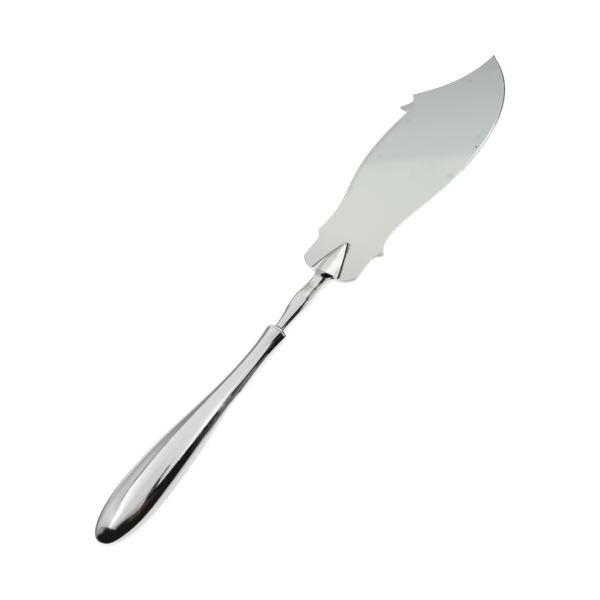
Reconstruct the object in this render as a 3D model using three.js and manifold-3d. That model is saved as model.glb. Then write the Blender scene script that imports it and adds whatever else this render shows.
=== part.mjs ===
// Serving spatula with a flat, shaped blade, a cast shank that ends in a spearhead
// soldered on the blade, and a hollow pear-shaped handle filled with pitch.
// Millimetres. +X runs from the handle to the blade's tip, +Z is up, and the origin is
// on the blade's underside, on the handle's centre line, level with the shoulder spurs.
// The spatula lies as on a table: z = 0 is under the blade and under the handle's belly.
import * as THREE from 'three';
import { mergeVertices } from 'three/addons/utils/BufferGeometryUtils.js';
import Module from 'manifold-3d';

const wasm = await Module();
wasm.setup();

// Fits
const fitGap = 0.3;                // between pieces that are cemented in pitch
const solderFilm = 0.1;            // between flat faces that are soldered together

// Blade: one sheet, sawn to outline, with its edges eased
const bladeThickness = 1.3;
const edgeEase = 0.22;             // chamfer all round, on both faces
const rootLength = 18.5;           // from the shoulder spurs back to the rear edge
const heelHalfWidth = 5.8;         // straight middle of the rear edge, behind the spearhead
const lobeLength = 2;              // how far the rear lobes curve forward
const lobeInset = 1.7;             // how far a lobe's corner is drawn in from the root's side
const backRootHalfWidth = 12.1;    // the root's sides: +Y is the back, with the notch near
const bellyRootHalfWidth = 11.4;   // the tip, and -Y is the belly, one long convex edge
const rootSideStart = 5;           // where each root side starts, ahead of the rear edge
const spurRun = 5.4;               // length of the hollow that leads out to a shoulder spur
const spurHalfWidth = 14.4;
const bellySpurX = 2;              // the spur on the belly side stands a little further on
const backWaistX = 9.5;
const backWaist = 13.8;
const backSwellX = 51;
const backSwell = 19.1;
const bellyWaistX = 12;
const bellyWaist = 11.2;
const bellySwellX = 72;
const bellySwell = 18.8;
const barbX = 77;                  // the notch: a barb, a hollow and a beak
const barbRoot = 17.4;
const barbReach = 21.7;
const hollowX = 83;
const hollow = 18.6;
const beakX = 86.5;
const beakReach = 20.8;
const tipX = 126.7;
const tipOffset = 3.3;             // the tip lies off the centre line, on the back's side

// Spearhead on the blade, and the shank behind it
const spearLength = 17.2;          // from the blade's rear edge to the point
const spearHalfWidth = 5.4;        // at the rear, and of the shank's flare
const spearSideBow = 0.3;          // how far its sides bow out halfway
const spearPointOffset = 0.8;      // it points a little to the back's side
const spearPlinth = 0.8;           // thickness of the flat border
const spearBorder = 1.5;           // width of the flat border at the rear
const spearPointBorder = 0.1;      // the same at the point
const spearRidge = 2.6;            // height of the ridge over the blade, at the rear
const spearPointHeight = 1.0;      // the same at the point
const spearPointHalfWidth = 0.35;
const spearCrown = 1.5;            // 1 is a sharp gable, 2 is a round crown
const spearRearLean = 0.3;         // how far the rear face leans forward at its corners
const spearRearBulge = 1.5;        // how far the ridge's rear end stands behind the corners
const spearRearSlope = 1.4;        // how much further back the face's foot lies under the ridge
const spearRearFoot = 0.12;        // rise of the crown at the foot of the rear face
const shankLength = 34.6;          // from the blade's rear edge to the handle's mouth
const shankUnderside = 0.3;        // lowest point of the shank over the table
const shankEndHalfWidth = 2.25;    // at the mouth
const shankEndHalfHeight = 2;
const shankEndOffset = 0.4;        // it enters the mouth a little on the belly's side
const swellFromMouth = 17.7;       // widest part of the baluster
const swellHalfWidth = 3.5;
const swellHalfHeight = 2.4;
const neckFromRear = 6;            // narrowest part, before the spearhead
const neckHalfWidth = 2.95;
const neckHalfHeight = 1.6;
const flareRun = 5;                // concave flare from the neck to the spearhead
const flareThickness = 1.9;
const tangLength = 46;
const tangHalfWidth = 1.5;
const tangHalfHeight = 0.75;

// Handle: two stamped half shells, an end cap at the mouth and a pitch filling
const handleLength = 112.6;        // from the mouth to the butt
const bellyFromMouth = 86;
const neckFromMouth = 13;
const mouthHalfWidth = 4.35;
const mouthHalfHeight = 2.8;
const handleNeckHalfWidth = 3.4;
const handleNeckHalfHeight = 2.45;
const bellyHalfWidth = 8.5;
const bellyHalfHeight = 5.3;
const buttRoundness = 2.25;        // 2 is an ellipse, more is blunter
const mouthAxisHeight = 2.85;      // centre of the mouth over the table
const shellWall = 0.8;
const capThickness = 1.2;
const capEase = 0.4;
const spigotLength = 2.4;          // the cap's inner rim, which centres it in the shells

// Places along X that follow from the sizes
const rearEdgeX = -rootLength;
const mouthX = rearEdgeX - shankLength;
const shellFrontX = mouthX - capThickness - solderFilm;
const bellyX = mouthX - bellyFromMouth;
const buttX = mouthX - handleLength;
const bladeTop = bladeThickness + solderFilm;

// How finely round forms are divided
const aroundHandle = 36;
const aroundShank = 32;
const outlineSteps = 10;

// Half a cosine wave, from 0 with no slope to 1 with no slope
function wave(s) {
  return (1 - Math.cos(Math.PI * s)) / 2;
}

// A quarter of a cosine wave, from 0 with no slope to 1
function quarterWave(s) {
  return 1 - Math.cos((Math.PI / 2) * s);
}

function mix(from, to, share) {
  return from + (to - from) * share;
}

// Evenly spaced places from one X to another, without the last
function stretch(from, to, count) {
  return Array.from({ length: count }, (_, i) => mix(from, to, i / count));
}

// Joins rings of [y, z] points, one at each place along +X, into a closed body.
// The points of a ring run from +Y over +Z, so that the faces point out. A third number
// says how far a point lies behind its ring's place.
function loft(places, ringAt) {
  const rings = places.map((x) => ringAt(x).map(
    ([y, z, behind = 0]) => new THREE.Vector3(x - behind, y, z),
  ));
  const size = rings[0].length;
  const points = rings.flat();
  const faces = [];
  for (let r = 0; r + 1 < rings.length; r += 1) {
    for (let i = 0; i < size; i += 1) {
      const a = r * size + i;
      const b = r * size + ((i + 1) % size);
      faces.push(a, b, a + size, b, b + size, a + size);
    }
  }
  const last = (rings.length - 1) * size;
  for (const [ring, start, flip] of [[rings[0], 0, true], [rings.at(-1), last, false]]) {
    const centre = ring.reduce((sum, p) => sum.add(p), new THREE.Vector3()).divideScalar(size);
    points.push(centre);
    for (let i = 0; i < size; i += 1) {
      const a = start + i;
      const b = start + ((i + 1) % size);
      faces.push(points.length - 1, flip ? b : a, flip ? a : b);
    }
  }
  const geometry = new THREE.BufferGeometry().setFromPoints(points);
  geometry.setIndex(faces);
  return geometry;
}

function ellipseRing(halfWidth, halfHeight, centreZ, count) {
  return Array.from({ length: count }, (_, i) => {
    const turn = (2 * Math.PI * i) / count;
    return [halfWidth * Math.cos(turn), centreZ + halfHeight * Math.sin(turn)];
  });
}

// A closed three.js geometry as a solid that can be joined and cut
function solid(geometry) {
  const bare = geometry.clone();
  bare.deleteAttribute('normal');
  bare.deleteAttribute('uv');
  const merged = mergeVertices(bare, 1e-4);
  return new wasm.Manifold(new wasm.Mesh({
    numProp: 3,
    vertProperties: Float32Array.from(merged.attributes.position.array),
    triVerts: Uint32Array.from(merged.index.array),
  }));
}

function geometryOf(manifold) {
  const { vertProperties, triVerts } = manifold.getMesh();
  const geometry = new THREE.BufferGeometry();
  geometry.setAttribute('position', new THREE.BufferAttribute(vertProperties, 3));
  geometry.setIndex(new THREE.BufferAttribute(triVerts, 1));
  return geometry;
}

// One side of the blade's root, from the middle of the rear edge to a shoulder spur.
// side is 1 for the back and -1 for the belly.
function rootSide(side, rootHalfWidth, spurX) {
  const lobeHalfWidth = rootHalfWidth - lobeInset;
  const sideStartX = rearEdgeX + rootSideStart;
  const path = new THREE.Path();
  path.moveTo(rearEdgeX, 0);
  path.lineTo(rearEdgeX, side * heelHalfWidth);
  path.quadraticCurveTo(
    rearEdgeX, side * mix(heelHalfWidth, lobeHalfWidth, 0.6),
    rearEdgeX + lobeLength, side * lobeHalfWidth,
  );
  path.quadraticCurveTo(
    mix(rearEdgeX + lobeLength, sideStartX, 0.4), side * rootHalfWidth,
    sideStartX, side * rootHalfWidth,
  );
  path.lineTo(spurX - spurRun, side * rootHalfWidth);
  path.quadraticCurveTo(
    mix(spurX - spurRun, spurX, 0.55), side * rootHalfWidth,
    spurX, side * spurHalfWidth,
  );
  return path.getPoints(outlineSteps);
}

// The blade's back, from its shoulder spur over the notch to the tip
function backEdge() {
  const path = new THREE.Path();
  path.moveTo(0, spurHalfWidth);
  path.quadraticCurveTo(0.4 * backWaistX, backWaist, backWaistX, backWaist);
  path.bezierCurveTo(
    mix(backWaistX, backSwellX, 0.33), backWaist,
    mix(backWaistX, backSwellX, 0.5), backSwell,
    backSwellX, backSwell,
  );
  path.quadraticCurveTo(mix(backSwellX, barbX, 0.5), backSwell, barbX, barbRoot);
  path.lineTo(barbX, barbReach);
  path.quadraticCurveTo(mix(barbX, hollowX, 0.6), mix(barbReach, hollow, 0.8), hollowX, hollow);
  path.quadraticCurveTo(mix(hollowX, beakX, 0.6), mix(hollow, beakReach, 0.4), beakX, beakReach);
  path.bezierCurveTo(
    mix(beakX, tipX, 0.15), mix(beakReach, tipOffset, 0.29),
    mix(beakX, tipX, 0.48), mix(beakReach, tipOffset, 0.9),
    tipX, tipOffset,
  );
  return path.getPoints(outlineSteps);
}

// The blade's belly, from its shoulder spur round to the tip
function bellyEdge() {
  const path = new THREE.Path();
  path.moveTo(bellySpurX, -spurHalfWidth);
  path.quadraticCurveTo(
    mix(bellySpurX, bellyWaistX, 0.35), -mix(spurHalfWidth, bellyWaist, 0.95),
    bellyWaistX, -bellyWaist,
  );
  path.bezierCurveTo(
    mix(bellyWaistX, bellySwellX, 0.27), -bellyWaist,
    mix(bellyWaistX, bellySwellX, 0.5), -bellySwell,
    bellySwellX, -bellySwell,
  );
  path.bezierCurveTo(
    mix(bellySwellX, tipX, 0.42), -bellySwell,
    mix(bellySwellX, tipX, 0.8), -0.68 * bellySwell,
    tipX, tipOffset,
  );
  return path.getPoints(outlineSteps);
}

function bladeGeometry() {
  const back = [...rootSide(1, backRootHalfWidth, 0), ...backEdge().slice(1)];
  const belly = [...rootSide(-1, bellyRootHalfWidth, bellySpurX), ...bellyEdge().slice(1)];
  const outline = new THREE.Shape([...belly, ...back.slice(1, -1).reverse()]);
  const geometry = new THREE.ExtrudeGeometry(outline, {
    depth: bladeThickness - 2 * edgeEase,
    steps: 1,
    bevelEnabled: true,
    bevelThickness: edgeEase,
    bevelSize: edgeEase,
    bevelOffset: -edgeEase,
    bevelSegments: 1,
  });
  geometry.translate(0, 0, edgeEase);
  return geometryOf(solid(geometry));
}

// Ring of the spearhead, with share 0 at its rear and 1 at its point: a flat border with a
// crowned ridge inside it, whose middle may lie behind its sides
function spearRing(share, ridgeHeight, behind) {
  const halfWidth = mix(spearHalfWidth, spearPointHalfWidth, share)
    + spearSideBow * Math.sin(Math.PI * share);
  const crownHalfWidth = halfWidth - mix(spearBorder, spearPointBorder, Math.min(1, 2.5 * share));
  const middleY = spearPointOffset * share;
  const crownSteps = 7;
  const crownFoot = Math.min(spearPlinth, ridgeHeight);
  const ring = [[halfWidth, bladeTop, 0], [halfWidth, bladeTop + crownFoot, 0]];
  for (let i = -crownSteps; i <= crownSteps; i += 1) {
    const across = -i / crownSteps;
    const rise = 1 - Math.abs(across) ** spearCrown;
    const height = bladeTop + mix(crownFoot, ridgeHeight, rise);
    ring.push([crownHalfWidth * across, height, behind * (1 - Math.abs(across))]);
  }
  ring.push([-halfWidth, bladeTop + crownFoot, 0], [-halfWidth, bladeTop, 0]);
  return ring.map(([y, z, back]) => [y + middleY, z, back]);
}

function spearhead() {
  const crestX = rearEdgeX - solderFilm;
  const pointX = rearEdgeX + spearLength;
  const footRise = spearPlinth + spearRearFoot;
  const footBehind = spearRearBulge + spearRearSlope;
  const places = [crestX, ...[0.2, 0.4, 0.6, 0.8, 1].map((share) => mix(crestX, pointX, share))];
  return solid(loft([crestX - spearRearLean, ...places], (x) => {
    if (x < crestX) return spearRing(0, footRise, footBehind);
    const share = (x - crestX) / (pointX - crestX);
    return spearRing(share, mix(spearRidge, spearPointHeight, share), x > crestX ? 0 : spearRearBulge);
  }));
}

// Half width, half height and centre height of the shank at a place along X
function shankSize(x) {
  const swellX = mouthX + swellFromMouth;
  const neckX = rearEdgeX - neckFromRear;
  const flareStartX = rearEdgeX - fitGap - flareRun;
  const swellAxis = shankUnderside + swellHalfHeight;
  const neckAxis = shankUnderside + neckHalfHeight;
  if (x <= swellX) {
    const share = wave((x - mouthX) / swellFromMouth);
    return [
      mix(shankEndHalfWidth, swellHalfWidth, share),
      mix(shankEndHalfHeight, swellHalfHeight, share),
      mix(mouthAxisHeight, swellAxis, share),
    ];
  }
  if (x <= neckX) {
    const share = wave((x - swellX) / (neckX - swellX));
    return [
      mix(swellHalfWidth, neckHalfWidth, share),
      mix(swellHalfHeight, neckHalfHeight, share),
      mix(swellAxis, neckAxis, share),
    ];
  }
  const run = Math.max(0, (x - flareStartX) / flareRun);
  const share = 1 - Math.sqrt(Math.max(0, 1 - run * run));
  const halfHeight = mix(neckHalfHeight, flareThickness / 2, quarterWave(run));
  return [mix(neckHalfWidth, spearHalfWidth, share), halfHeight, shankUnderside + halfHeight];
}

function shankGeometry() {
  const swellX = mouthX + swellFromMouth;
  const neckX = rearEdgeX - neckFromRear;
  const flareEndX = rearEdgeX - fitGap;
  const startX = mouthX + solderFilm;
  const places = [
    ...stretch(startX, swellX, 9),
    ...stretch(swellX, neckX, 8),
    ...stretch(neckX, flareEndX - flareRun, 1),
    ...stretch(flareEndX - flareRun, flareEndX - 0.2 * flareRun, 6),
    ...stretch(flareEndX - 0.2 * flareRun, flareEndX, 6),
    flareEndX,
  ];
  const bar = solid(loft(places, (x) => {
    const [halfWidth, halfHeight, centreZ] = shankSize(x);
    const sideways = shankEndOffset * (1 - wave(Math.min(1, (x - mouthX) / swellFromMouth)));
    return ellipseRing(halfWidth, halfHeight, centreZ, aroundShank).map(([y, z]) => [y - sideways, z]);
  }));
  const tang = tangForm(mouthX - tangLength, startX + fitGap, 0);
  return geometryOf(bar.add(spearhead()).add(tang));
}

// The straight tang inside the handle, or with growth the hole that it lies in
function tangForm(fromX, toX, growth) {
  return solid(loft([fromX, toX], () => ellipseRing(
    tangHalfWidth + growth, tangHalfHeight + growth, mouthAxisHeight, aroundShank / 2,
  )));
}

// Half width and half height of the handle at a place along X, drawn in by inset
function handleSize(x, inset) {
  const neckX = mouthX - neckFromMouth;
  if (x >= neckX) {
    const share = quarterWave(Math.min(1, (x - neckX) / neckFromMouth));
    return [
      mix(handleNeckHalfWidth, mouthHalfWidth, share) - inset,
      mix(handleNeckHalfHeight, mouthHalfHeight, share) - inset,
    ];
  }
  if (x >= bellyX) {
    const share = wave((neckX - x) / (neckX - bellyX));
    return [
      mix(handleNeckHalfWidth, bellyHalfWidth, share) - inset,
      mix(handleNeckHalfHeight, bellyHalfHeight, share) - inset,
    ];
  }
  const run = (bellyX - x) / (bellyX - buttX - inset);
  const share = Math.max(0, 1 - run ** buttRoundness) ** (1 / buttRoundness);
  return [(bellyHalfWidth - inset) * share, (bellyHalfHeight - inset) * share];
}

// Height of the handle's centre line. It is level up to the neck and rises from there as
// the handle swells, which lays the belly's underside on the table.
function handleAxis(x) {
  const neckX = mouthX - neckFromMouth;
  const share = wave(Math.min(1, Math.max(0, (neckX - x) / (neckX - bellyX))));
  return mix(mouthAxisHeight, bellyHalfHeight, share);
}

// A closed body with the handle's form, drawn in by inset and ending at frontX
function handleForm(inset, frontX, around, detail) {
  const buttRun = bellyX - buttX - inset;
  const buttSteps = 4 * detail;
  const butt = Array.from({ length: buttSteps }, (_, i) => {
    const turn = (Math.PI / 2) * (1 - (i + 0.25) / buttSteps);
    return bellyX - buttRun * Math.sin(turn);
  });
  const places = [
    ...butt,
    ...stretch(bellyX, mouthX - neckFromMouth, 6 * detail),
    ...stretch(mouthX - neckFromMouth, frontX, 2 * detail),
    frontX,
  ];
  return solid(loft(places, (x) => {
    const [halfWidth, halfHeight] = handleSize(x, inset);
    return ellipseRing(halfWidth, halfHeight, handleAxis(x), around);
  }));
}

// Everything above (side 1) or below (side -1) the seam along the handle's sides
function seamCutter(side) {
  const margin = 2 * bellyHalfWidth;
  const outline = new THREE.Shape();
  const places = [buttX - margin, ...stretch(buttX, mouthX, 24), mouthX + margin];
  places.forEach((x, i) => {
    const z = handleAxis(x) + (side * fitGap) / 2;
    if (i === 0) outline.moveTo(x, z);
    else outline.lineTo(x, z);
  });
  outline.lineTo(mouthX + margin, side * margin * 2);
  outline.lineTo(buttX - margin, side * margin * 2);
  const geometry = new THREE.ExtrudeGeometry(outline, { depth: 2 * margin, steps: 1, bevelEnabled: false });
  geometry.translate(0, 0, -margin);
  geometry.rotateX(Math.PI / 2);
  return solid(geometry);
}

function shellGeometry(side) {
  const outside = handleForm(0, shellFrontX, aroundHandle, 4);
  const inside = handleForm(shellWall, mouthX, aroundHandle / 2, 2);
  return geometryOf(outside.subtract(inside).intersect(seamCutter(side)));
}

// A flat oval slab across the handle, from one X to another
function ovalSlab(fromX, toX, [halfWidth, halfHeight], ease) {
  const outline = new THREE.Shape();
  outline.absellipse(0, 0, halfWidth, halfHeight, 0, 2 * Math.PI, false);
  const geometry = new THREE.ExtrudeGeometry(outline, {
    depth: toX - fromX - 2 * ease,
    steps: 1,
    curveSegments: aroundHandle / 2,
    bevelEnabled: ease > 0,
    bevelThickness: ease,
    bevelSize: ease,
    bevelOffset: -ease,
    bevelSegments: 3,
  });
  geometry.rotateZ(Math.PI / 2);
  geometry.rotateY(Math.PI / 2);
  geometry.translate(fromX + ease, 0, mouthAxisHeight);
  return solid(geometry);
}

function endCapGeometry() {
  const backX = mouthX - capThickness;
  const spigotX = shellFrontX - spigotLength;
  const plate = ovalSlab(backX, mouthX, handleSize(mouthX, 0), capEase);
  const [innerWidth, innerHeight] = handleSize(spigotX, shellWall + fitGap);
  const spigot = ovalSlab(spigotX, backX + capEase, [innerWidth, innerHeight], 0);
  return geometryOf(plate.add(spigot).subtract(tangForm(spigotX - 1, mouthX + 1, fitGap)));
}

function fillerGeometry() {
  const frontX = shellFrontX - spigotLength - fitGap;
  const pitch = handleForm(shellWall + fitGap, frontX, aroundHandle / 2, 2);
  return geometryOf(pitch.subtract(tangForm(mouthX - tangLength - fitGap, mouthX, fitGap)));
}

function silver(color, roughness) {
  return new THREE.MeshStandardMaterial({ color, roughness, metalness: 1 });
}

function piece(name, geometry, material) {
  geometry.computeVertexNormals();
  const mesh = new THREE.Mesh(geometry, material);
  mesh.name = name;
  return mesh;
}

const spatula = new THREE.Group();
spatula.add(piece('blade', bladeGeometry(), silver(0xc9cdc8, 0.32)));
spatula.add(piece('shank', shankGeometry(), silver(0xd9dad8, 0.12)));
spatula.add(piece('handle_end_cap', endCapGeometry(), silver(0xd6d8d6, 0.14)));
spatula.add(piece('handle_shell_upper', shellGeometry(1), silver(0xdcdddb, 0.1)));
spatula.add(piece('handle_shell_lower', shellGeometry(-1), silver(0xdcdddb, 0.1)));
spatula.add(piece('handle_filler', fillerGeometry(), new THREE.MeshStandardMaterial({
  color: 0x2b211a, roughness: 0.85, metalness: 0,
})));

export default spatula;
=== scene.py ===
# Serving spatula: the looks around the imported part, in its frame. Shapes are written in
# millimetres and made in metres. X runs along the handle to the blade's tip, Y to the side
# with the notch, and Z up.
import math

import bpy
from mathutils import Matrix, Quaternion, Vector


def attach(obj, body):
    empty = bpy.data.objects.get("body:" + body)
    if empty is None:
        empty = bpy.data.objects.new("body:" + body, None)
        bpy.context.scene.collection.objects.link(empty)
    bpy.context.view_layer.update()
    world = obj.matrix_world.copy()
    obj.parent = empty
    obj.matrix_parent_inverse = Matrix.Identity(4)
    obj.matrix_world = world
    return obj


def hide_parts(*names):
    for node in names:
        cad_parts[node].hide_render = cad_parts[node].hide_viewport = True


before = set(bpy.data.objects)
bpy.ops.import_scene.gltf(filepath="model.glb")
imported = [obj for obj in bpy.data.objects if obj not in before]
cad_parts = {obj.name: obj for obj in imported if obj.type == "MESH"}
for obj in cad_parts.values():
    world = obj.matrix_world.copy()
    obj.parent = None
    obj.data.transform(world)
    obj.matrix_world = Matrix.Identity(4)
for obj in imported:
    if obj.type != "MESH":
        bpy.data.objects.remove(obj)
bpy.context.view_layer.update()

MM = 0.001
AROUND = 128  # points on a ring

# Sizes, as in the part's source
BLADE_THICKNESS = 1.3
EDGE_EASE = 0.3
TOP_EASE = 0.13
SOLDER_FILM = 0.1
BLADE_TOP = BLADE_THICKNESS + SOLDER_FILM
REAR_X = -18.5
HEEL = 5.8
SPUR_Y = 14.4
BACK_SPUR_X = 0
BELLY_SPUR_X = 2
BACK_ROOT_Y = 12.1
BELLY_ROOT_Y = 11.4
TIP_X = 126.7
TIP_Y = 3.3

SPEAR_HALF = 5.4
SPEAR_RIDGE = 2.6
SPEAR_POINT_X = REAR_X + 17.2
SPEAR_POINT_Y = 0.8
SPEAR_POINT_HALF = 0.35

MOUTH_X = -53.1
MOUTH_AXIS = 2.85
MOUTH_ASIDE = 0.4
SWELL_RUN = 17.7
SWELL_X = MOUTH_X + SWELL_RUN
SHANK_NECK_X = REAR_X - 6
FLARE_END_X = REAR_X - 0.3
FLARE_RUN = 5
SHANK_UNDERSIDE = 0.3
TANG_LENGTH = 46
TANG_HALF = (1.5, 0.75)

SHELL_FRONT_X = -54.4
MOUTH_RUN = 13
HANDLE_NECK_X = MOUTH_X - MOUTH_RUN
BELLY_X = MOUTH_X - 86
BUTT_X = MOUTH_X - 112.6
BELLY_AXIS = 5.3
BUTT_POWER = 2.25

# Half widths and half heights of the shank and of the handle
SHANK_MOUTH = (2.25, 2)
SHANK_SWELL = (3.5, 2.4)
SHANK_NECK = (2.95, 1.6)
FLARE_END_HEIGHT = 0.95
HANDLE_MOUTH = (4.35, 2.8)
HANDLE_NECK = (3.4, 2.45)
HANDLE_BELLY = (8.5, 5.3)

# Sizes of the finer forms that only this script has
BEVEL_WIDTH = 0.75
BEVEL_SLOPE = 0.7


def wave(s):
    return (1 - math.cos(math.pi * s)) / 2


def quarter_wave(s):
    return 1 - math.cos(math.pi / 2 * s)


def mix(low, high, share):
    return low + (high - low) * share


def mix_pair(low, high, share):
    return mix(low[0], high[0], share), mix(low[1], high[1], share)


def clamp(s):
    return min(1.0, max(0.0, s))


def stretch(start, end, count):
    return [mix(start, end, i / count) for i in range(count)]


# Meshes

def link(obj):
    bpy.context.scene.collection.objects.link(obj)
    return obj


def mesh_object(name, points, faces, material, flat=()):
    """An object from points in millimetres. The faces numbered in flat aren't smooth."""
    mesh = bpy.data.meshes.new(name)
    mesh.from_pydata([[c * MM for c in p] for p in points], [], faces)
    mesh.polygons.foreach_set("use_smooth", [i not in flat for i in range(len(faces))])
    mesh.materials.append(material)
    mesh.validate()
    mesh.update()
    return link(bpy.data.objects.new(name, mesh))


def loft(rings, start=0):
    """Points and faces of a closed body from rings of points that run from +Y over +Z.
    Its two ends are the last faces."""
    size = len(rings[0])
    points = [p for ring in rings for p in ring]
    faces = []
    for r in range(len(rings) - 1):
        for i in range(size):
            a = start + r * size + i
            b = start + r * size + (i + 1) % size
            faces.append((a, b, b + size, a + size))
    last = start + (len(rings) - 1) * size
    faces.append(tuple(start + i for i in reversed(range(size))))
    faces.append(tuple(last + i for i in range(size)))
    return points, faces


def both_ends(faces):
    return {len(faces) - 2, len(faces) - 1}


def ellipse(x, half_width, half_height, centre_z, count=AROUND):
    turns = [2 * math.pi * i / count for i in range(count)]
    return [(x, half_width * math.cos(t), centre_z + half_height * math.sin(t)) for t in turns]


# Blade

def quadratic(a, b, c, count):
    spots = [i / count for i in range(1, count + 1)]
    return [tuple((1 - t) ** 2 * a[k] + 2 * t * (1 - t) * b[k] + t * t * c[k] for k in (0, 1))
            for t in spots]


def cubic(a, b, c, d, count):
    spots = [i / count for i in range(1, count + 1)]
    return [tuple((1 - t) ** 3 * a[k] + 3 * t * (1 - t) ** 2 * b[k]
                  + 3 * t * t * (1 - t) * c[k] + t ** 3 * d[k] for k in (0, 1))
            for t in spots]


def root_side(side, half_width, spur_x):
    """One side of the root, from the middle of the rear over the lobe to the spur."""
    lobe_x, lobe_y = REAR_X + 2, half_width - 1.7
    side_x = REAR_X + 5
    rise_x = spur_x - 5.4
    line = [(REAR_X, 0), (REAR_X, side * HEEL)]
    line += quadratic(line[-1], (REAR_X, side * mix(HEEL, lobe_y, 0.6)),
                      (lobe_x, side * lobe_y), 12)
    line += quadratic(line[-1], (mix(lobe_x, side_x, 0.4), side * half_width),
                      (side_x, side * half_width), 12)
    line.append((rise_x, side * half_width))
    line += quadratic(line[-1], (mix(rise_x, spur_x, 0.55), side * half_width),
                      (spur_x, side * SPUR_Y), 14)
    return line


def back_edge():
    """The edge on the notch's side, from the spur to the tip."""
    waist_x, waist_y = 9.5, 13.8
    swell_x, swell_y = 51, 19.1
    beak_x, beak_y, beak_foot_y = 77, 21.7, 17.4
    notch_x, notch_y = 83, 18.6
    barb_x, barb_y = 86.5, 20.8
    line = [(BACK_SPUR_X, SPUR_Y)]
    line += quadratic(line[-1], (3.8, waist_y), (waist_x, waist_y), 14)
    line += cubic(line[-1], (mix(waist_x, swell_x, 0.33), waist_y),
                  (mix(waist_x, swell_x, 0.5), swell_y), (swell_x, swell_y), 40)
    line += quadratic(line[-1], (64, swell_y), (beak_x, beak_foot_y), 30)
    line.append((beak_x, beak_y))
    line += quadratic(line[-1], (mix(beak_x, notch_x, 0.6), mix(beak_y, notch_y, 0.8)),
                      (notch_x, notch_y), 14)
    line += quadratic(line[-1], (mix(notch_x, barb_x, 0.6), mix(notch_y, barb_y, 0.4)),
                      (barb_x, barb_y), 10)
    line += cubic(line[-1], (mix(barb_x, TIP_X, 0.15), mix(barb_y, TIP_Y, 0.29)),
                  (mix(barb_x, TIP_X, 0.48), mix(barb_y, TIP_Y, 0.9)), (TIP_X, TIP_Y), 44)
    return line


def belly_edge():
    """The edge on the other side, from the spur to the tip."""
    waist_x, waist_y = 12, -11.2
    swell_x, swell_y = 72, -18.8
    line = [(BELLY_SPUR_X, -SPUR_Y)]
    line += quadratic(line[-1], (mix(BELLY_SPUR_X, waist_x, 0.35), mix(-SPUR_Y, waist_y, 0.95)),
                      (waist_x, waist_y), 14)
    line += cubic(line[-1], (mix(waist_x, swell_x, 0.27), waist_y),
                  (mix(waist_x, swell_x, 0.5), swell_y), (swell_x, swell_y), 50)
    line += cubic(line[-1], (mix(swell_x, TIP_X, 0.42), swell_y),
                  (mix(swell_x, TIP_X, 0.8), 0.68 * swell_y), (TIP_X, TIP_Y), 60)
    return line


def inset(outline, distance):
    """The outline, which runs anticlockwise, drawn in by a distance."""
    sharpest = 0.35
    count = len(outline)
    drawn = []
    for i, (x, y) in enumerate(outline):
        normals = []
        for a, b in ((outline[i - 1], (x, y)), ((x, y), outline[(i + 1) % count])):
            run = math.hypot(b[0] - a[0], b[1] - a[1])
            normals.append(((a[1] - b[1]) / run, (b[0] - a[0]) / run))
        (ax, ay), (bx, by) = normals
        scale = distance / max(sharpest, 1 + ax * bx + ay * by)
        drawn.append((x + (ax + bx) * scale, y + (ay + by) * scale))
    return drawn


def bevel_width(x):
    """How far the belly's eased edge reaches in on the top: wide from the swell to the tip."""
    start_x, widening, narrowing = 45, 30, 1.2
    width = mix(TOP_EASE, BEVEL_WIDTH, wave(clamp((x - start_x) / widening)))
    return mix(TOP_EASE, width, clamp((TIP_X - x) / narrowing))


def make_blade(material):
    back = root_side(1, BACK_ROOT_Y, BACK_SPUR_X) + back_edge()[1:]
    belly = root_side(-1, BELLY_ROOT_Y, BELLY_SPUR_X) + belly_edge()[1:]
    outline = belly + back[1:-1][::-1]
    steps = 4
    rings = []
    for i in range(steps + 1):
        turn = math.pi / 2 * (1 - i / steps)
        z = EDGE_EASE * (1 - math.sin(turn))
        ring = inset(outline, EDGE_EASE * (1 - math.cos(turn)))
        rings.append([(x, y, z) for x, y in ring])
    widths = [bevel_width(x) for x, _ in belly] + [TOP_EASE] * (len(outline) - len(belly))
    narrow = inset(outline, 1)
    rounded = 0.2  # the outer share of the bevel, and how much lower its rim is
    for share in (0, 0.04, 0.12, 0.2, 0.24, 0.6, 1):
        ring = []
        for (x, y), (in_x, in_y), width in zip(outline, narrow, widths):
            drawn_in = width * share
            drop = width * BEVEL_SLOPE * (1 - share)
            drop += rounded * width * max(0, 1 - share / rounded) ** 2
            ring.append((x + (in_x - x) * drawn_in, y + (in_y - y) * drawn_in,
                         BLADE_THICKNESS - drop))
        rings.append(ring)
    points, faces = loft(rings)
    return mesh_object("blade_sheet", points, faces, material, both_ends(faces))


# Shank

def shank_size(x):
    """Half width, half height and centre height."""
    swell_axis = SHANK_UNDERSIDE + SHANK_SWELL[1]
    neck_axis = SHANK_UNDERSIDE + SHANK_NECK[1]
    if x <= SWELL_X:
        share = wave((x - MOUTH_X) / SWELL_RUN)
        return *mix_pair(SHANK_MOUTH, SHANK_SWELL, share), mix(MOUTH_AXIS, swell_axis, share)
    if x <= SHANK_NECK_X:
        share = wave((x - SWELL_X) / (SHANK_NECK_X - SWELL_X))
        return *mix_pair(SHANK_SWELL, SHANK_NECK, share), mix(swell_axis, neck_axis, share)
    run = max(0, (x - FLARE_END_X + FLARE_RUN) / FLARE_RUN)
    share = 1 - math.sqrt(max(0, 1 - run * run))
    half_height = mix(SHANK_NECK[1], FLARE_END_HEIGHT, quarter_wave(run))
    return mix(SHANK_NECK[0], SPEAR_HALF, share), half_height, SHANK_UNDERSIDE + half_height


def shank_ring(x, grow_wide=0.0, grow_high=0.0, count=AROUND):
    """A ring of the shank, which enters the mouth a little on the belly's side."""
    half_width, half_height, centre = shank_size(x)
    aside = MOUTH_ASIDE * (1 - wave(clamp((x - MOUTH_X) / SWELL_RUN)))
    ring = ellipse(x, half_width + grow_wide, half_height + grow_high, centre, count)
    return [(px, y - aside, z) for px, y, z in ring]


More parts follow.
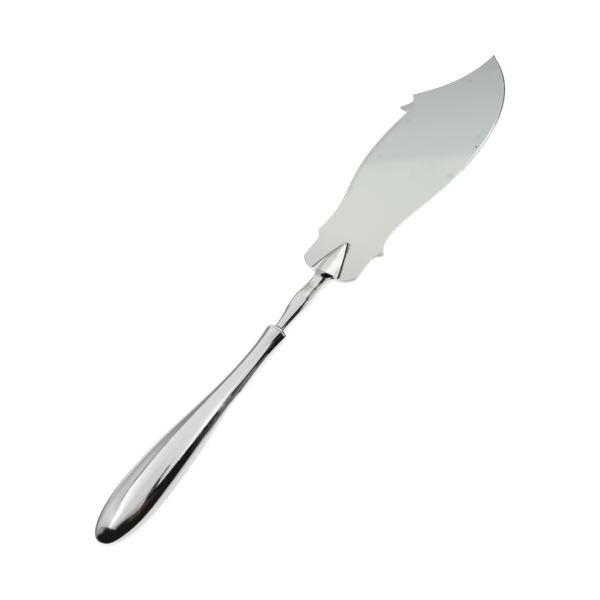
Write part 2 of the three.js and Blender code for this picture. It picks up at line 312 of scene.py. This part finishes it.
def make_shank(material):
    """The bar, and in the handle the tang."""
    places = stretch(MOUTH_X + SOLDER_FILM, SWELL_X, 30) + stretch(SWELL_X, SHANK_NECK_X, 26)
    places += stretch(SHANK_NECK_X, FLARE_END_X - FLARE_RUN, 3)
    steps = 24
    places += [FLARE_END_X - FLARE_RUN * (1 - math.sin(math.pi / 2 * i / steps))
               for i in range(steps + 1)]
    points, faces = loft([shank_ring(x) for x in places])
    flat = both_ends(faces)
    overlap = 0.4
    tang_ends = (MOUTH_X - TANG_LENGTH, MOUTH_X + overlap)
    tang = [ellipse(x, *TANG_HALF, MOUTH_AXIS, 32) for x in tang_ends]
    tang_points, tang_faces = loft(tang, len(points))
    points += tang_points
    faces += tang_faces
    return mesh_object("shank_bar", points, faces, material, flat | both_ends(faces))


def spear_edge(share):
    """Half width and middle of the spearhead, from its rear (0) to its point (1)."""
    bow = 0.3 * math.sin(math.pi * share)
    return mix(SPEAR_HALF, SPEAR_POINT_HALF, share) + bow, SPEAR_POINT_Y * share


def spear_ring(x, share, ridge, behind=0.0):
    """Border, groove and crowned ridge of the spearhead, from +Y over the top. The ridge
    may lie behind the sides."""
    half_width, middle = spear_edge(share)
    plinth = 0.8
    fine = half_width / SPEAR_HALF
    border = mix(1.5, 0.1, clamp(2.5 * share))
    crown = half_width - border
    groove = 0.14 * fine
    ring = [(half_width, 0, 0), (half_width, plinth - 0.1 * fine, 0),
            (half_width - 0.1 * fine, plinth, 0), (crown + 0.2 * groove, plinth, 0),
            (crown, plinth - groove, 0)]
    foot = ring[-1][1]
    mirrored = [(-y, z, 0) for y, z, _ in reversed(ring)]
    steps = 28
    power = mix(0.6, 0.75, clamp(4 * share))
    blunt = 0.0016  # keeps the crest from being a crease
    for i in range(-steps + 1, steps):
        across = -i / steps
        rise = 1 - (across * across + blunt) ** power + blunt ** power
        ring.append((crown * across, foot + max(0, ridge - foot) * rise,
                     behind * (1 - abs(across) ** 1.5)))
    return [(x - back, y + middle, BLADE_TOP + z) for y, z, back in ring + mirrored]


def make_spearhead(material):
    """Its rear slopes from a low foot up to the crest, and both lie behind its corners."""
    crest_x = REAR_X - SOLDER_FILM
    foot_x, foot_ridge, foot_behind = crest_x - 0.3, 0.92, 2.9
    crest_behind, point_ridge = 1.5, 1.0
    rings = [spear_ring(foot_x, 0, foot_ridge, foot_behind),
             spear_ring(crest_x, 0, SPEAR_RIDGE, crest_behind)]
    count = 40
    for i in range(1, count + 1):
        share = i / count
        rings.append(spear_ring(mix(crest_x, SPEAR_POINT_X, share), share,
                                mix(SPEAR_RIDGE, point_ridge, share),
                                crest_behind * max(0, 1 - 5 * share)))
    points, faces = loft(rings)
    rear_faces = set(range(len(rings[0])))
    return mesh_object("spearhead", points, faces, material, rear_faces | both_ends(faces))


def make_solder(material):
    """The fillet of solder along the foot of the spearhead, on the blade."""
    back_reach, belly_reach = 0.85, 0.45
    back_height, belly_height = 0.3, 0.5
    sunk, inwards = -0.25, -0.3
    count = 40
    sides = []
    for i in range(count + 1):
        x = mix(REAR_X + 0.25, SPEAR_POINT_X, i / count)
        half_width, middle = spear_edge(i / count)
        sides.append(((x, middle + half_width), (x, middle - half_width)))
    path = [on_back for on_back, _ in sides]
    path += [(SPEAR_POINT_X + 0.3, SPEAR_POINT_Y + 0.2), (SPEAR_POINT_X + 0.35, SPEAR_POINT_Y)]
    path.append((SPEAR_POINT_X + 0.3, SPEAR_POINT_Y - 0.2))
    path += [on_belly for _, on_belly in reversed(sides)]
    rings = []
    for i, (x, y) in enumerate(path):
        a = path[max(0, i - 1)]
        b = path[min(len(path) - 1, i + 1)]
        run = math.hypot(b[0] - a[0], b[1] - a[1])
        out_x, out_y = (a[1] - b[1]) / run, (b[0] - a[0]) / run
        belly_side = clamp(0.5 - (y - SPEAR_POINT_Y) / 2)
        uneven = 0.06 * math.sin(i * 1.7) + 0.04 * math.sin(i * 4.1)
        reach = mix(back_reach, belly_reach, belly_side) + uneven
        height = mix(back_height, belly_height, belly_side)
        profile = [(inwards, sunk), (reach, sunk), (reach * 0.95, -0.06),
                   (reach * 0.4, height * 0.25), (0.05, height), (inwards, height + 0.02)]
        rings.append([(x + out_x * d, y + out_y * d, BLADE_TOP + z) for d, z in profile])
    points, faces = loft(rings)
    return mesh_object("solder_fillet", points, faces, material)


# Handle

def handle_axis(x):
    share = wave(clamp((HANDLE_NECK_X - x) / (HANDLE_NECK_X - BELLY_X)))
    return mix(MOUTH_AXIS, BELLY_AXIS, share)


def handle_size(x):
    """Half width and half height."""
    if x >= HANDLE_NECK_X:
        share = quarter_wave(min(1, (x - HANDLE_NECK_X) / MOUTH_RUN))
        return mix_pair(HANDLE_NECK, HANDLE_MOUTH, share)
    if x >= BELLY_X:
        share = wave((HANDLE_NECK_X - x) / (HANDLE_NECK_X - BELLY_X))
        return mix_pair(HANDLE_NECK, HANDLE_BELLY, share)
    run = clamp((BELLY_X - x) / (BELLY_X - BUTT_X))
    share = (1 - run ** BUTT_POWER) ** (1 / BUTT_POWER)
    return HANDLE_BELLY[0] * share, HANDLE_BELLY[1] * share


def handle_ring(x, drawn_in=0.0):
    half_width, half_height = handle_size(x)
    return ellipse(x, half_width - drawn_in, half_height - drawn_in, handle_axis(x))


def make_handle(material):
    count = 64
    places = []
    for i in range(count):
        turn = math.pi / 2 * (1 - (i + 1.1) / (count + 1))
        places.append(BELLY_X - (BELLY_X - BUTT_X) * math.sin(turn))
    places += stretch(BELLY_X, HANDLE_NECK_X, 90) + stretch(HANDLE_NECK_X, SHELL_FRONT_X, 24)
    places.append(SHELL_FRONT_X)
    points, faces = loft([handle_ring(x) for x in places])
    return mesh_object("handle_shells", points, faces, material, {len(faces) - 1})


def make_end_cap(material):
    """The rim of the mouth, rounded by more along the handle than across it."""
    ease, run, steps = 0.7, 1.15, 12
    rings = [handle_ring(x) for x in stretch(SHELL_FRONT_X, MOUTH_X - run, 2)]
    for i in range(steps + 1):
        turn = math.pi / 2 * i / steps
        x = MOUTH_X - run * (1 - math.sin(turn))
        rings.append(handle_ring(x, ease * (1 - math.cos(turn))))
    points, faces = loft(rings)
    return mesh_object("end_cap", points, faces, material, both_ends(faces))


def make_mouth_solder(material):
    """The low bead of solder where the shank leaves the handle's mouth."""
    reach, highest, run, sunk = 0.55, 0.5, 0.6, 0.05
    steps = 8
    rings = []
    for i in range(steps + 1):
        turn = math.pi / 2 * i / steps
        grow = reach * math.cos(turn)
        x = MOUTH_X - sunk + run * math.sin(turn)
        rings.append(shank_ring(x, grow, min(grow, highest), 96))
    points, faces = loft(rings)
    return mesh_object("mouth_solder", points, faces, material, both_ends(faces))


# Node helpers

class Nodes:
    """Short names for the nodes of one tree. An input is a number, a tuple or a socket."""

    def __init__(self, tree):
        self.tree = tree
        tree.nodes.clear()

    def add(self, kind, out=0, inputs=None, **settings):
        node = self.tree.nodes.new(kind)
        for key, value in settings.items():
            setattr(node, key, value)
        for key, value in (inputs or {}).items():
            if isinstance(value, bpy.types.NodeSocket):
                self.tree.links.new(value, node.inputs[key])
            else:
                node.inputs[key].default_value = value
        return node.outputs[out] if len(node.outputs) else node

    def where(self):
        """The place on the object."""
        return self.add("ShaderNodeTexCoord", 3)

    def split(self, vector):
        node = self.tree.nodes.new("ShaderNodeSeparateXYZ")
        self.tree.links.new(vector, node.inputs[0])
        return node.outputs

    def rays(self):
        return self.tree.nodes.new("ShaderNodeLightPath").outputs

    def math(self, operation, a, b=0.0, clamped=False):
        return self.add("ShaderNodeMath", operation=operation, use_clamp=clamped,
                        inputs={0: a, 1: b})

    def plus(self, a, b):
        return self.math("ADD", a, b)

    def minus(self, a, b):
        return self.math("SUBTRACT", a, b)

    def times(self, a, b):
        return self.math("MULTIPLY", a, b)

    def between(self, low, high, share):
        return self.plus(low, self.times(share, self.minus(high, low)))

    def vector(self, operation, a, b, out=0):
        return self.add("ShaderNodeVectorMath", out, operation=operation, inputs={0: a, 1: b})

    def ramp(self, value, low, high, to_low=0.0, to_high=1.0, kind="SMOOTHSTEP"):
        return self.add("ShaderNodeMapRange", interpolation_type=kind, inputs={
            "Value": value, "From Min": low, "From Max": high,
            "To Min": to_low, "To Max": to_high})

    def mix(self, share, a, b, blend="MIX"):
        return self.add("ShaderNodeMix", 2, data_type="RGBA", blend_type=blend,
                        inputs={0: share, 6: a, 7: b})

    def noise(self, vector, scale, detail=3.0, roughness=0.55):
        return self.add("ShaderNodeTexNoise", inputs={
            "Vector": vector, "Scale": scale, "Detail": detail, "Roughness": roughness})

    def turned(self, vector, scale, degrees):
        return self.add("ShaderNodeMapping", inputs={
            "Vector": vector, "Scale": scale, "Rotation": (0, 0, math.radians(degrees))})

    def bump(self, height, distance, strength=1.0, **under):
        return self.add("ShaderNodeBump", inputs={
            "Strength": strength, "Distance": distance, "Height": height, **under})

    def surface(self, shader, kind="ShaderNodeOutputMaterial"):
        self.add(kind, inputs={"Surface": shader})


def new_material(name):
    material = bpy.data.materials.new(name)
    material.use_nodes = True
    return material, Nodes(material.node_tree)


def grey(level):
    return (level, level, level, 1)


def darker(colour, share):
    return tuple(c * share for c in colour[:3]) + (1,)


# Materials. Their noise scales and bump distances are per metre and in metres

TARNISH_BROWN = (0.34, 0.28, 0.2, 1)


def scratches(n, where, turns, fine, width):
    """Hairline scratches: noise that is stretched along one direction, cut to thin lines."""
    found = None
    for i, turn in enumerate(turns):
        along = n.turned(where, (fine * 0.018, fine, fine), turn)
        line = n.noise(along, 1.0, 1.0)
        off = n.math("ABSOLUTE", n.minus(line, 0.5 + 0.02 * (i % 3)))
        hair = n.ramp(off, 0.0, width, 1.0, 0.0, "LINEAR")
        hair = n.times(hair, n.ramp(n.noise(where, 60 + 17 * i, 2.0), 0.48, 0.62))
        found = hair if found is None else n.math("MAXIMUM", found, hair)
    return found


def ragged(n, where, off, scale, depth):
    """A distance, made uneven by noise."""
    return n.plus(off, n.times(n.minus(n.noise(where, scale, 3.0), 0.5), depth))


def stain_cover(n, where, x, y, radius, strength):
    """A round stain on the top of the blade."""
    off = n.vector("DISTANCE", where, (x * MM, y * MM, BLADE_THICKNESS * MM), 1)
    off = ragged(n, where, off, 420.0, radius * MM * 1.6)
    return n.ramp(off, radius * MM * 0.25, radius * MM, strength, 0.0)


def streak_cover(n, where, x0, y0, x1, y1, width, strength):
    """A streak from one (x, y) to another, whatever the height."""
    run = ((x1 - x0) * MM, (y1 - y0) * MM, 0)
    start = n.vector("MULTIPLY", where, (1, 1, 0))
    start = n.vector("SUBTRACT", start, (x0 * MM, y0 * MM, 0))
    along = n.vector("DOT_PRODUCT", start, run, 1)
    along = n.math("DIVIDE", along, run[0] ** 2 + run[1] ** 2, clamped=True)
    nearest = n.add("ShaderNodeVectorMath", operation="SCALE", inputs={0: run, 3: along})
    off = n.vector("DISTANCE", start, nearest, 1)
    off = ragged(n, where, off, 500.0, 0.4 * width * MM)
    return n.ramp(off, width * MM * 0.15, width * MM * 0.6, strength, 0)


def silver(name, colour, roughness, haze, hairs, hair_depth, stains=(), streaks=(),
           tarnish=0.0, wear=1.0, painted_tones=()):
    """Polished silver with haze, hairline scratches, local stains and a film of tarnish.
    A painted tone (x, x, colour) tints everything from between the two places on, and paints
    shade and reflection tones. A stain is (x, y, radius, colour, strength), and a streak (x, y,
    x, y, width, colour, strength). Some streaks are painted shade and painted dark reflections."""
    material, n = new_material(name)
    where = n.where()
    cloud = n.noise(where, 55.0, 4.0, 0.6)
    broad = n.noise(where, 16.0, 2.0)
    tint = n.mix(n.ramp(broad, 0.35, 0.65), colour, darker(colour, 1 - 0.035 * wear))
    tint = n.mix(n.times(n.ramp(cloud, 0.5, 0.75), 0.35 * wear), tint, darker(colour, 0.93))
    x = n.split(where)[0]
    for x0, x1, shade in painted_tones:
        tint = n.mix(n.ramp(x, x0 * MM, x1 * MM), tint, n.mix(1.0, tint, shade, "MULTIPLY"))
    rough = n.ramp(cloud, 0.3, 0.75, roughness, roughness + haze, "LINEAR")
    lines = scratches(n, where, hairs, 900.0, 0.012)
    fine = scratches(n, where, [h + 27 for h in hairs], 2300.0, 0.02)
    rough = n.plus(rough, n.times(n.math("MAXIMUM", lines, fine), 0.1 * wear))
    if tarnish:
        film = n.times(n.ramp(n.noise(where, 260.0, 5.0, 0.7), 0.52, 0.72), tarnish)
        tint = n.mix(film, tint, TARNISH_BROWN)
        rough = n.plus(rough, n.times(film, 0.35))
    for *place, stain, strength in stains:
        cover = stain_cover(n, where, *place, strength)
        tint = n.mix(cover, tint, stain)
        rough = n.plus(rough, n.times(cover, 0.25))
    for *place, stain, strength in streaks:
        cover = streak_cover(n, where, *place, strength)
        tint = n.mix(cover, tint, stain)
        rough = n.plus(rough, n.times(cover, 0.15))
    height = n.plus(n.times(lines, -1.0), n.times(fine, -0.4))
    hair_bump = n.bump(height, hair_depth * MM)
    ripple_bump = n.bump(n.noise(where, 90.0, 2.0), 0.004 * MM, Normal=hair_bump)
    n.surface(n.add("ShaderNodeBsdfPrincipled", inputs={
        "Base Color": tint, "Metallic": 1.0, "Roughness": rough, "Normal": ripple_bump}))
    return material


def pitch_material():
    material, n = new_material("pitch")
    grain = n.noise(n.where(), 700.0, 5.0, 0.7)
    n.surface(n.add("ShaderNodeBsdfPrincipled", inputs={
        "Base Color": n.mix(grain, (0.022, 0.016, 0.012, 1), (0.05, 0.035, 0.025, 1)),
        "Roughness": n.ramp(grain, 0.3, 0.7, 0.6, 0.9),
        "Normal": n.bump(grain, 0.1 * MM, 0.4)}))
    return material


EDGE_TARNISH_AND_SHADE = (0.3, 0.3, 0.25, 1)
OLIVE = (0.42, 0.38, 0.26, 1)
BROWN = (0.36, 0.27, 0.15, 1)
DARK = (0.12, 0.12, 0.12, 1)
SMUDGE = (0.6, 0.62, 0.6, 1)
# Dark umber and near black, used for painted shade and painted dark reflections
PAINTED_SHADE_UMBER = (0.15, 0.13, 0.1, 1)
PAINTED_SHADE_BLACK = (0.025, 0.022, 0.02, 1)


def belly_line():
    """The brown of the belly's bevel, partly tarnish and partly a painted dark reflection,
    wider and stronger towards the tip.
    """
    rim = [(x, y) for x, y in belly_edge()[::-4] if x > 55]
    return [(*a, *b, mix(0.95, 1.5, clamp((b[0] - 108) / 12)), EDGE_TARNISH_AND_SHADE,
             mix(0.25, 1, clamp((b[0] - 82) / 16))) for a, b in zip(rim, rim[1:])]


def back_line():
    """A faint painted shade along the swell of the back edge."""
    rim = [(x, y) for x, y in back_edge()[::4] if 22 < x < 73]
    return [(*a, *b, 4.5, EDGE_TARNISH_AND_SHADE, 0.11) for a, b in zip(rim, rim[1:])]


def shank_painted_reflection():
    """A painted dark reflection along the shank's outline on the notch's side."""
    rim = [(x, 0.76 * shank_size(x)[0]) for x in range(-44, -23, 2)]
    return [(*a, *b, 0.8, PAINTED_SHADE_UMBER, 0.6) for a, b in zip(rim, rim[1:])]


blade_silver = silver(
    "satin_silver", (0.905, 0.916, 0.88, 1), 0.06, 0.03, (12, 105), 0.003, wear=0.35,
    # Painted tones: painted shade darkening the blade towards the root, and from x = 20 to 36
    # on a painted reflection tint that is a little less red
    painted_tones=((6, -18, (0.9, 0.9, 0.92, 1)), (20, 36, (0.96, 1, 1, 1))),
    stains=[
        (-0.7, 0.3, 1.1, BROWN, 0.7),
        (1.3, -13.6, 2.2, OLIVE, 0.4),
        (76.8, 20.0, 2.4, OLIVE, 0.32),
        (79.5, 18.8, 3.8, OLIVE, 0.22),
        (120.0, 2.0, 7.0, OLIVE, 0.1),
        (47.2, 13.8, 2.0, SMUDGE, 0.3),
        (71.3, 14.8, 2.4, SMUDGE, 0.25),
        (106.5, 4.1, 1.6, SMUDGE, 0.35),
        (53.0, -15.8, 2.0, SMUDGE, 0.3),
        (78.9, -15.2, 1.6, SMUDGE, 0.3),
        (73.2, -16.9, 0.45, DARK, 0.9),
    ],
    streaks=[
        (-4.6, -1.55, -0.9, -0.2, 1.5, OLIVE, 0.85),
        # Painted shade: a dark crease line along the spearhead's foot on the belly side, with
        # some real brown in it
        (-17.3, -5.65, -2.6, -0.62, 0.95, PAINTED_SHADE_UMBER, 0.8),
        *belly_line(),
        *back_line(),
    ])
cast_silver = silver(
    "cast_silver", (0.93, 0.93, 0.91, 1), 0.03, 0.04, (8, 80), 0.003, tarnish=0.2,
    streaks=[
        # Painted dark reflection in a band along the shank's belly side, and painted shade in
        # the black triangle at the spearhead's rear and on the flare
        (-35.5, -2.3, -29, -1.85, 1.3, PAINTED_SHADE_UMBER, 0.8),
        (-29, -1.85, -25, -1.8, 1.3, PAINTED_SHADE_UMBER, 0.85),
        (-25.6, -1.8, -24, -1.85, 1.0, PAINTED_SHADE_BLACK, 0.5),
        (-24.2, -1.85, -22.5, -1.9, 1.3, PAINTED_SHADE_BLACK, 1.0),
        (-22.4, -1.8, -21.5, -1.5, 1.9, PAINTED_SHADE_BLACK, 1.0),
        (-21.4, -0.6, -20.9, -2.2, 1.5, PAINTED_SHADE_BLACK, 1.0),
        (-20.9, 0.1, -20.1, -2.6, 1.2, PAINTED_SHADE_BLACK, 1.0),
        (-20.1, -2.6, -19.3, -3.8, 0.55, PAINTED_SHADE_BLACK, 0.9),
        *shank_painted_reflection(),
    ])
handle_silver = silver(
    "polished_silver", (0.94, 0.94, 0.93, 1), 0.012, 0.02, (4, 47, 96), 0.003, wear=0.7)
mouth_silver = silver(
    "tarnished_silver", (0.5, 0.51, 0.45, 1), 0.12, 0.1, (30,), 0.003, tarnish=0.3)
# Near black: tarnished solder, and painted shade in the crease along the spearhead's foot
solder_with_painted_shade = silver(
    "solder", (0.07, 0.06, 0.045, 1), 0.3, 0.2, (30,), 0.004, tarnish=0.6)

blade = make_blade(blade_silver)
bar = make_shank(cast_silver)
spear = make_spearhead(cast_silver)
fillet = make_solder(solder_with_painted_shade)
handle = make_handle(handle_silver)
cap = make_end_cap(handle_silver)
mouth_solder = make_mouth_solder(mouth_silver)

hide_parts("blade")
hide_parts("shank")
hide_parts("shank")
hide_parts("handle_shell_upper", "handle_shell_lower")
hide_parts("handle_end_cap")
for piece, slot in ((blade, "satin_silver"), (bar, "cast_silver"), (spear, "cast_silver"),
                    (fillet, "cast_silver"), (handle, "polished_silver"),
                    (cap, "polished_silver"), (mouth_solder, "cast_silver")):
    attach(piece, "root")

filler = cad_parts["handle_filler"]
filler.data.materials.clear()
filler.data.materials.append(pitch_material())


# Floor, which reads as white and keeps the shadow. In the metal's reflections it is darker,
# with a painted glow along the blade and handle and a painted shadow beside the butt

FLOOR_Z = -0.1
FLOOR_GLOW = 0.56


def make_floor():
    material, n = new_material("floor")
    x, y, _ = n.split(n.where())
    # Painted light: in the metal's reflections the floor glows brighter within a few
    # centimetres of the blade and handle
    aside = n.minus(n.math("ABSOLUTE", y), n.ramp(x, -0.025, 0.01, 0, 0.014))
    near = n.plus(n.ramp(aside, 0.004, 0.012, 0.2, 0.0), n.ramp(aside, 0.006, 0.06, 0.14, 0.0))
    rays = n.rays()
    seen = n.plus(n.times(rays["Is Camera Ray"], FLOOR_GLOW),
                  n.times(rays["Is Glossy Ray"], near))
    seen = n.plus(seen, n.times(rays["Is Transmission Ray"], FLOOR_GLOW))
    glow = n.add("ShaderNodeEmission", inputs={"Color": grey(1), "Strength": seen})
    # Painted shadow: in the metal's reflections the floor beside the butt, on the notch's side,
    # is darker
    painted_butt_shadow = n.times(n.ramp(x, -0.15, -0.12, 1, 0), n.ramp(y, 0, 0.005))
    painted_butt_shadow = n.times(painted_butt_shadow, rays["Is Glossy Ray"])
    body = n.add("ShaderNodeBsdfDiffuse", inputs={
        "Color": n.mix(painted_butt_shadow, grey(0.8), grey(0.2))})
    n.surface(n.add("ShaderNodeAddShader", inputs={0: body, 1: glow}))
    reach = 3000
    corners = [(-reach, -reach, FLOOR_Z), (reach, -reach, FLOOR_Z),
               (reach, reach, FLOOR_Z), (-reach, reach, FLOOR_Z)]
    mesh_object("floor", corners, [(0, 1, 2, 3)], material)


make_floor()


# Cards of the studio, which show only in reflections. A level of 1 is white

BLACK = 0.01
WALL_Y = 200
WINDOW_Y = 205
FLAG_Y = -120
OVER_FLOOR_Z = FLOOR_Z / 2


def make_card(name, corners, paint, colour=(1, 1, 1, 1)):
    """A flat card. Its corners are in millimetres, and paint gives its level and cover
    from the nodes and from x, y and z in metres."""
    material, n = new_material(name)
    level, cover = paint(n, *n.split(n.where()))
    glow = n.add("ShaderNodeEmission", inputs={"Color": colour, "Strength": level})
    clear = n.add("ShaderNodeBsdfTransparent")
    n.surface(n.add("ShaderNodeMixShader", inputs={0: cover, 1: clear, 2: glow}))
    card = mesh_object(name, corners, [tuple(range(len(corners)))], material)
    card.visible_camera = False
    card.visible_diffuse = False
    card.visible_shadow = False


def upright(y, outline):
    return [(x, y, z) for x, z in outline]


def lying(z, outline):
    return [(x, y, z) for x, y in outline]


def plain(level):
    return lambda n, x, y, z: (level, 1.0)


def paint_wall(n, x, y, z):
    """Paler to the left and upwards, and dark at its left end."""
    low = n.ramp(x, -0.06, 0.08, 0.42, 0.19, "LINEAR")
    high = n.ramp(x, -0.02, 0.065, 0.58, 0.27)
    left = n.plus(n.ramp(x, -0.175, -0.115, -0.08, 0.06, "LINEAR"),
                  n.times(n.ramp(x, -0.175, -0.115, 0, 0.06), n.ramp(z, 0.15, 0.32)))
    high = n.plus(high, n.times(left, n.ramp(x, -0.1, -0.07, 1, 0)))
    level = n.between(low, high, n.ramp(z, 0.01, 0.12))
    level = n.plus(level, n.ramp(x, -0.076, -0.068, 0.05, 0.0))
    return n.times(level, n.ramp(x, -0.195, -0.175, 0.72, 1.0)), 1.0


def paint_window(n, x, y, z):
    """Brightest to the left, darker low down on the right, and fading out there and upwards."""
    level = n.plus(n.ramp(x, -0.03, 0.045, 0.22, 0.0), n.ramp(x, 0.03, 0.13, 0.87, 0.74))
    above = n.minus(z, n.times(n.minus(x, 0.12), 0.6))
    low = n.times(n.ramp(x, 0.07, 0.1), n.ramp(above, 0.01, 0.08, 1, 0))
    level = n.times(level, n.minus(1.0, n.times(low, 0.42)))
    return level, n.times(n.ramp(x, 0.2, 0.3, 1, 0), n.ramp(z, 0.75, 1.4, 1, 0))


def paint_flag(n, x, y, z):
    """Black, and a little lighter at its lower right."""
    lighter = n.times(n.ramp(x, -0.02, 0.025), n.ramp(z, 0.07, 0.13, 1, 0))
    return n.plus(BLACK, n.times(lighter, 0.07)), 1.0


def paint_panel(n, x, y, z):
    """White, and brightest on the right."""
    return n.ramp(x, 0.12, 0.2, 0.88, 1.02), 1.0


def paint_butt(n, x, y, z):
    """Black, and paler towards the wall."""
    return n.plus(n.ramp(y, 0.017, 0.045, BLACK, 0.3), n.ramp(y, 0.045, 0.077, 0, 0.06)), 1.0


def paint_far(n, x, y, z):
    """A soft edge across the blade, and darker towards the tip."""
    along = n.plus(n.times(x, 0.77), n.times(y, 0.64))
    return n.ramp(along, 0.198, 0.256, 0.62, 0.47, "LINEAR"), n.ramp(along, 0.181, 0.186)


def paint_embers(n, x, y, z):
    """A dull reddish patch with one brighter line."""
    line = n.plus(n.times(x, 0.95), n.times(z, -0.3))
    line = n.ramp(n.math("ABSOLUTE", n.plus(line, 0.142)), 0.0, 0.004, 0.2, 0.0)
    return n.plus(line, 0.075), n.ramp(z, 0.09, 0.2)


# Behind the blade: the side wall, its rail and the window
make_card("side_wall", upright(WALL_Y, [
    (-85, 0), (62, 0), (80, 90), (75, 135), (50, 160), (20, 200), (-25, 222), (-45, 275),
    (-72, 385), (-85, 400)]), paint_wall, (0.97, 1, 0.97, 1))
make_card("side_wall_end", upright(WALL_Y, [
    (-200, 0), (-85, 0), (-85, 400), (-110, 430), (-178, 580), (-200, 700)]), paint_wall)
make_card("side_rail", upright(WALL_Y - 1, [
    (45, 140), (50, 160), (20, 200), (-25, 222), (-45, 275), (-72, 385), (-62, 300),
    (-55, 235), (-30, 192), (15, 172)]), plain(0.2))
make_card("window", upright(WINDOW_Y, [
    (-230, 0), (280, 0), (280, 1450), (-230, 1450)]), paint_window)

# On the camera's side: black flags, the embers and the white panel
make_card("flag_right", upright(FLAG_Y, [
    (-200, 0), (-125, 3), (-80, 30), (-45, 38), (-20, 42), (2, 38), (14, 10), (30, 80),
    (62, 135), (88, 170), (92, 200), (65, 222), (40, 228), (0, 245), (-10, 285), (-30, 285),
    (-60, 240), (-85, 245), (-92, 420), (-110, 560), (-200, 1000)]),
    paint_flag, (0.9, 0.98, 1, 1))
make_card("flag_arm", upright(FLAG_Y + 1, [
    (-8, 262), (72, 373), (188, 509), (312, 691), (288, 709), (132, 551), (28, 407),
    (-30, 285)]), plain(0.06))
make_card("embers", upright(FLAG_Y + 2, [
    (-135, 80), (-60, 90), (-60, 235), (-125, 260)]), paint_embers, (1, 0.62, 0.5, 1))
make_card("panel_right", upright(FLAG_Y - 1, [
    (40, 60), (235, 60), (340, 200), (340, 290), (165, 285), (120, 262), (70, 175),
    (42, 135)]), paint_panel)

# Behind the butt: a black flag and the hood over it
make_card("flag_butt", [
    (-178, -80, 0), (-178, 105, 0), (-178, 105, 48), (-178, -80, 48)], paint_butt)
make_card("hood_butt", [
    (-178, -80, 48), (-178, 105, 48), (-169, 105, 50.4), (-164, 8, 51.7), (-164, -80, 51.7)],
    paint_butt)

# Round the mouth, the neck and the shank
make_card("mouth_shade", lying(OVER_FLOOR_Z, [
    (-66, 4), (-54, 4), (-35, -43), (-48, -43)]), plain(BLACK))
make_card("neck_shade", lying(OVER_FLOOR_Z, [
    (-66, 4), (-48, -43), (-8, -120), (-28, -120), (-66, -50), (-84, -12), (-82, 4)]),
    plain(0.14))
make_card("low_shade", upright(FLAG_Y - 1, [
    (-12, 0), (24, 0), (24, 62), (14, 34), (2, 38), (-12, 41)]), plain(0.2))
make_card("neck_glow", upright(-15, [
    (-55, 15), (-58, 13.5), (-63, 12.5), (-67, 14), (-70, 17), (-72, 21), (-72, 34),
    (-48, 34), (-48, 28), (-49.5, 22), (-52.5, 18)]), plain(0.7))
make_card("mouth_flag", upright(-43, [(-46, 0), (-28, 0), (-28, 26), (-46, 26)]), plain(BLACK))
make_card("shank_flag", upright(-40, [
    (-30.5, 0), (-29, 1), (-25, 8), (-20, 16), (-13, 26), (-6, 33), (4, 38), (16, 46),
    (22, 60), (14, 72), (2, 64), (-6, 60), (-13, 55), (-17, 47), (-21.5, 38), (-25.5, 23),
    (-28.5, 13), (-30.5, 4)]), plain(BLACK))

# Over the tip, for the tone step across the blade
make_card("far_card", lying(150, [
    (130, -20), (330, -20), (330, 150), (130, 150)]), paint_far)


# World: a pale ceiling over grey walls, and white where the camera sees it

def make_world():
    world = bpy.data.worlds.new("studio")
    bpy.context.scene.world = world
    world.use_nodes = True
    n = Nodes(world.node_tree)
    way = n.add("ShaderNodeVectorMath", operation="NORMALIZE",
                inputs={0: n.add("ShaderNodeTexCoord", 0)})
    x, y, z = n.split(way)
    rise = n.math("DEGREES", n.math("ARCSINE", z))
    azimuth = n.math("DEGREES", n.math("ARCTAN2", y, x))
    walls = n.plus(n.ramp(azimuth, -38, -24, 0.48, 0.0), n.ramp(azimuth, 4, 20, 0.06, 0.42))
    ceiling = n.ramp(rise, 50, 62, 0.735, 0.65)
    back = n.times(n.ramp(azimuth, -55, -18, 1, 0), n.ramp(rise, 56, 66))
    ceiling = n.times(ceiling, n.minus(1.0, n.times(back, 0.42)))
    level = n.between(walls, ceiling, n.ramp(rise, 12, 30))
    band = n.times(n.ramp(rise, 35, 39), n.ramp(rise, 45, 50, 1, 0))
    band = n.times(band, n.times(n.ramp(azimuth, -60, -45), n.ramp(azimuth, -14, 20, 1, 0)))
    level = n.plus(level, n.times(band, 0.3))
    studio = n.add("ShaderNodeBackground", inputs={"Color": (1, 1, 0.99, 1), "Strength": level})
    white = n.add("ShaderNodeBackground", inputs={"Color": grey(1), "Strength": 1.0})
    both = n.add("ShaderNodeMixShader", inputs={
        0: n.rays()["Is Camera Ray"], 1: studio, 2: white})
    n.surface(both, "ShaderNodeOutputWorld")


make_world()


# Lamp and camera

def make_lamp():
    """One soft lamp, which the metal doesn't mirror."""
    light = bpy.data.lights.new("overhead", "AREA")
    light.size = 0.8
    light.energy = 3.0
    lamp = link(bpy.data.objects.new("overhead", light))
    place = Vector((-0.1, 0.15, 1.2))
    lamp.location = place
    lamp.rotation_mode = "QUATERNION"
    lamp.rotation_quaternion = (-place).to_track_quat("-Z", "Y")
    lamp.visible_glossy = False


def make_camera():
    """The photograph's camera, as fitted. Its focal length is three times the picture's
    width."""
    heading, fall, roll = (math.radians(a) for a in (31.894, 50.251, 0.12))
    target = Vector((-34.036, 1.746, 0)) * MM
    distance = 691.376 * MM
    away = Vector((math.cos(heading) * math.cos(fall), math.sin(heading) * math.cos(fall),
                   -math.sin(fall)))
    camera = link(bpy.data.objects.new("camera", bpy.data.cameras.new("camera")))
    camera.location = target - away * distance
    camera.rotation_mode = "QUATERNION"
    turn = away.to_track_quat("-Z", "Y")
    turn.rotate(Quaternion(away, -roll))
    camera.rotation_quaternion = turn
    camera.data.lens = 108
    camera.data.sensor_width = 36
    camera.data.clip_start = 0.05
    camera.data.clip_end = 20
    bpy.context.scene.camera = camera


make_lamp()
make_camera()
bpy.context.scene.view_settings.view_transform = "Standard"
